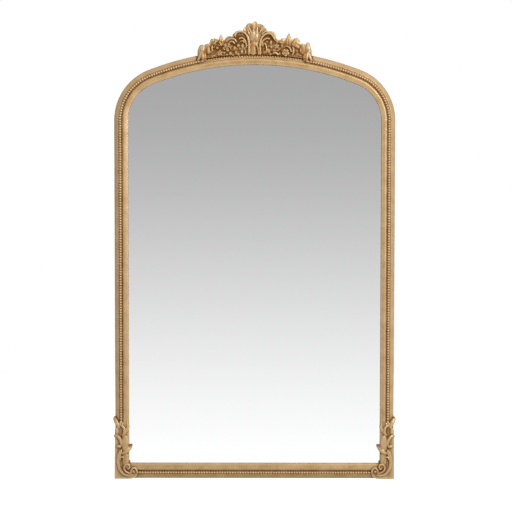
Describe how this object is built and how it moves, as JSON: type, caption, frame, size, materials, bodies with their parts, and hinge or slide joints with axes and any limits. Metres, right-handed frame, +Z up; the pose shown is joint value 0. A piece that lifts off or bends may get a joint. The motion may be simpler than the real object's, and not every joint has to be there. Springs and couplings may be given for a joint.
{
  "type": "wall mirror",
  "caption": "Arched wall mirror in a gilt moulded frame with a carved shell crest and leaf corners, hung by keyhole plates on its backing board.",
  "frame": {"origin": "on the flat back of the backing board, on the vertical centre line, level with the two keyhole plates, where the mirror lies against the wall", "axes": "+X to the right as seen from the front, +Y into the wall, so the front faces -Y, +Z up"},
  "size_m": [0.4822, 0.028, 0.7796],
  "materials": {
    "gilt": "cast resin, antiqued gold leaf paint with a brown wash in the hollows",
    "silvered_glass": "silvered float glass, flat",
    "fibreboard": "plain brown fibreboard",
    "zinc_plated": "zinc plated sheet steel",
    "screws": "zinc plated countersunk screws"
  },
  "bodies": {
    "root": {"frame": "gilt", "mirror_glass": "silvered_glass", "backing_board": "fibreboard", "hanger_plate_left": "zinc_plated", "hanger_plate_right": "zinc_plated", "plate_screw_left_1": "screws", "plate_screw_left_2": "screws", "plate_screw_right_1": "screws", "plate_screw_right_2": "screws", "board_screw_1": "screws", "board_screw_2": "screws", "board_screw_3": "screws", "board_screw_4": "screws", "board_screw_5": "screws", "board_screw_6": "screws"}
  },
  "joints": []
}
